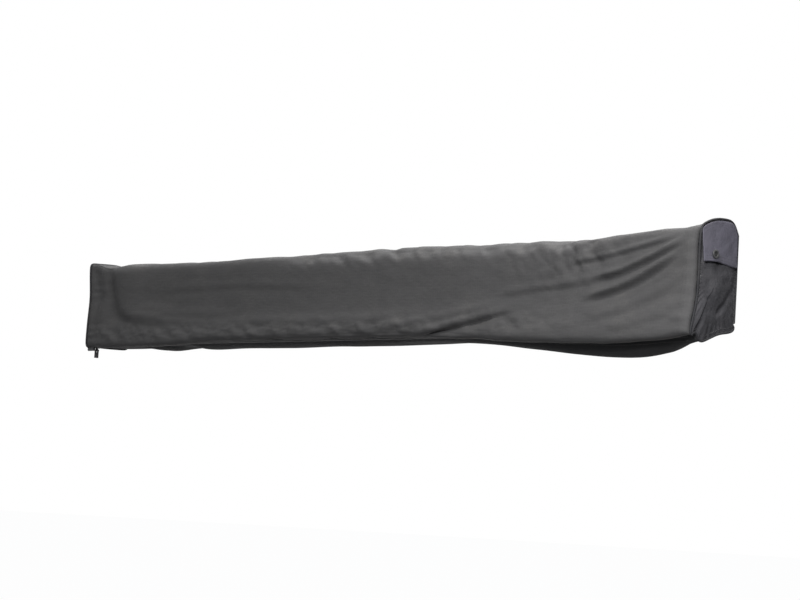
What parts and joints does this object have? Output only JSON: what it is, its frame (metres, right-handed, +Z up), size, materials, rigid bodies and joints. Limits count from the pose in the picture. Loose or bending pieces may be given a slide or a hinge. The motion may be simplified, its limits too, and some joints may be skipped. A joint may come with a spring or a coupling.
{
  "type": "vehicle side awning",
  "caption": "Fan-shaped roof-side awning folded in a long zipped travel bag, with a back rail, hinged arms, folding legs and two L brackets.",
  "frame": {"origin": "midpoint between the two bracket feet, on the plane of the crossbars' tops", "axes": "+X along the rail towards the vehicle's front, +Y to the vehicle, +Z up"},
  "size_m": [1.98, 0.208, 0.2371],
  "materials": {
    "bag_fabric": "charcoal coated cloth, matt with a slight sheen",
    "end_fabric": "charcoal coated cloth, slightly bluish",
    "webbing": "black woven tape",
    "canopy_cloth": "sand-coloured ripstop canvas",
    "rail_alloy": "clear anodised extrusion",
    "arm_alloy": "grey anodised tube",
    "black_casting": "black powder-coated casting",
    "zinc_steel": "bright zinc plate",
    "black_steel": "black powder-coated steel",
    "black_plastic": "black moulded nylon",
    "rubber": "black rubber"
  },
  "bodies": {
    "rail": {"back_rail": "rail_alloy", "rail_cap_front": "black_plastic", "hub_casting": "black_casting", "pivot_pin": "zinc_steel", "pivot_nut": "zinc_steel", "hub_bolt_lower": "zinc_steel", "hub_bolt_upper": "zinc_steel", "bracket_front": "black_steel", "bracket_rear": "black_steel", "t_bolt_front_upper": "zinc_steel", "t_bolt_front_lower": "zinc_steel", "t_bolt_rear_upper": "zinc_steel", "t_bolt_rear_lower": "zinc_steel", "bag_floor": "bag_fabric", "zip_chain": "webbing", "strap_front": "webbing", "strap_rear": "webbing"},
    "cover": {"bag_cover": "bag_fabric", "bag_end_front": "end_fabric", "bag_end_rear": "end_fabric", "cover_keder": "webbing"},
    "zip_slider": {"zip_slider": "black_steel"},
    "zip_pull": {"zip_pull": "black_plastic"},
    "arm_1": {"arm_1_tube": "arm_alloy", "arm_1_knuckle": "black_casting", "arm_1_tip": "black_casting", "leg_1_pin": "zinc_steel", "canopy_1": "canopy_cloth"},
    "leg_1": {"leg_1_outer": "arm_alloy", "leg_1_clamp": "black_plastic"},
    "leg_1_slide": {"leg_1_inner": "arm_alloy", "leg_1_foot": "rubber"},
    "arm_2": {"arm_2_tube": "arm_alloy", "arm_2_knuckle": "black_casting", "arm_2_tip": "black_casting", "leg_2_pin": "zinc_steel", "canopy_2": "canopy_cloth"},
    "leg_2": {"leg_2_outer": "arm_alloy", "leg_2_clamp": "black_plastic"},
    "leg_2_slide": {"leg_2_inner": "arm_alloy", "leg_2_foot": "rubber"},
    "arm_3": {"arm_3_tube": "arm_alloy", "arm_3_knuckle": "black_casting", "arm_3_tip": "black_casting", "leg_3_pin": "zinc_steel", "canopy_3": "canopy_cloth"},
    "leg_3": {"leg_3_outer": "arm_alloy", "leg_3_clamp": "black_plastic"},
    "leg_3_slide": {"leg_3_inner": "arm_alloy", "leg_3_foot": "rubber"},
    "arm_4": {"arm_4_tube": "arm_alloy", "arm_4_knuckle": "black_casting", "arm_4_tip": "black_casting", "leg_4_pin": "zinc_steel", "canopy_4": "canopy_cloth"},
    "leg_4": {"leg_4_outer": "arm_alloy", "leg_4_clamp": "black_plastic"},
    "leg_4_slide": {"leg_4_inner": "arm_alloy", "leg_4_foot": "rubber"}
  },
  "joints": [
    {"name": "cover_open", "type": "hinge", "parent": "rail", "child": "cover", "pos_m": [-0.17, -0.05705, 0.0402], "axis": [-1, 0, 0], "range_deg": [0, 180]},
    {"name": "zip_slide", "type": "slide", "parent": "rail", "child": "zip_slider", "axis": [1, 0, 0], "range_m": [0, 1.93]},
    {"name": "zip_pull_swing", "type": "hinge", "parent": "zip_slider", "child": "zip_pull", "pos_m": [-1.146, -0.1535, -0.1448], "axis": [0, 1, 0], "range_deg": [-70, 70]},
    {"name": "arm_1_swing", "type": "hinge", "parent": "rail", "child": "arm_1", "pos_m": [-1.115, -0.12, 0], "axis": [0, 0, -1], "range_deg": [0, 67.5], "deforming": ["bag_cover", "bag_end_front", "bag_end_rear", "strap_front", "strap_rear", "canopy_1"]},
    {"name": "leg_1_fold", "type": "hinge", "parent": "arm_1", "child": "leg_1", "pos_m": [0.772, -0.087, -0.0255], "axis": [0, -1, 0], "range_deg": [0, 90]},
    {"name": "leg_1_extend", "type": "slide", "parent": "leg_1", "child": "leg_1_slide", "axis": [-1, 0, 0], "range_m": [0, 0.74]},
    {"name": "arm_2_swing", "type": "hinge", "parent": "arm_1", "child": "arm_2", "pos_m": [-1.115, -0.12, 0], "axis": [0, 0, -1], "range_deg": [0, 67.5], "deforming": ["canopy_2"]},
    {"name": "leg_2_fold", "type": "hinge", "parent": "arm_2", "child": "leg_2", "pos_m": [0.772, -0.109, -0.0255], "axis": [0, -1, 0], "range_deg": [0, 90]},
    {"name": "leg_2_extend", "type": "slide", "parent": "leg_2", "child": "leg_2_slide", "axis": [-1, 0, 0], "range_m": [0, 0.74]},
    {"name": "arm_3_swing", "type": "hinge", "parent": "arm_2", "child": "arm_3", "pos_m": [-1.115, -0.12, 0], "axis": [0, 0, -1], "range_deg": [0, 67.5], "deforming": ["canopy_3"]},
    {"name": "leg_3_fold", "type": "hinge", "parent": "arm_3", "child": "leg_3", "pos_m": [0.772, -0.131, -0.0255], "axis": [0, -1, 0], "range_deg": [0, 90]},
    {"name": "leg_3_extend", "type": "slide", "parent": "leg_3", "child": "leg_3_slide", "axis": [-1, 0, 0], "range_m": [0, 0.74]},
    {"name": "arm_4_swing", "type": "hinge", "parent": "arm_3", "child": "arm_4", "pos_m": [-1.115, -0.12, 0], "axis": [0, 0, -1], "range_deg": [0, 67.5], "deforming": ["canopy_4"]},
    {"name": "leg_4_fold", "type": "hinge", "parent": "arm_4", "child": "leg_4", "pos_m": [0.772, -0.153, -0.0255], "axis": [0, -1, 0], "range_deg": [0, 90]},
    {"name": "leg_4_extend", "type": "slide", "parent": "leg_4", "child": "leg_4_slide", "axis": [-1, 0, 0], "range_m": [0, 0.74]}
  ],
  "couplings": [
    {"joint": "leg_1_fold", "follows": "arm_1_swing", "ratio": 1.3333},
    {"joint": "arm_2_swing", "follows": "arm_1_swing", "ratio": 1},
    {"joint": "leg_2_fold", "follows": "arm_1_swing", "ratio": 1.3333},
    {"joint": "arm_3_swing", "follows": "arm_1_swing", "ratio": 1},
    {"joint": "leg_3_fold", "follows": "arm_1_swing", "ratio": 1.3333},
    {"joint": "arm_4_swing", "follows": "arm_1_swing", "ratio": 1},
    {"joint": "leg_4_fold", "follows": "arm_1_swing", "ratio": 1.3333}
  ]
}
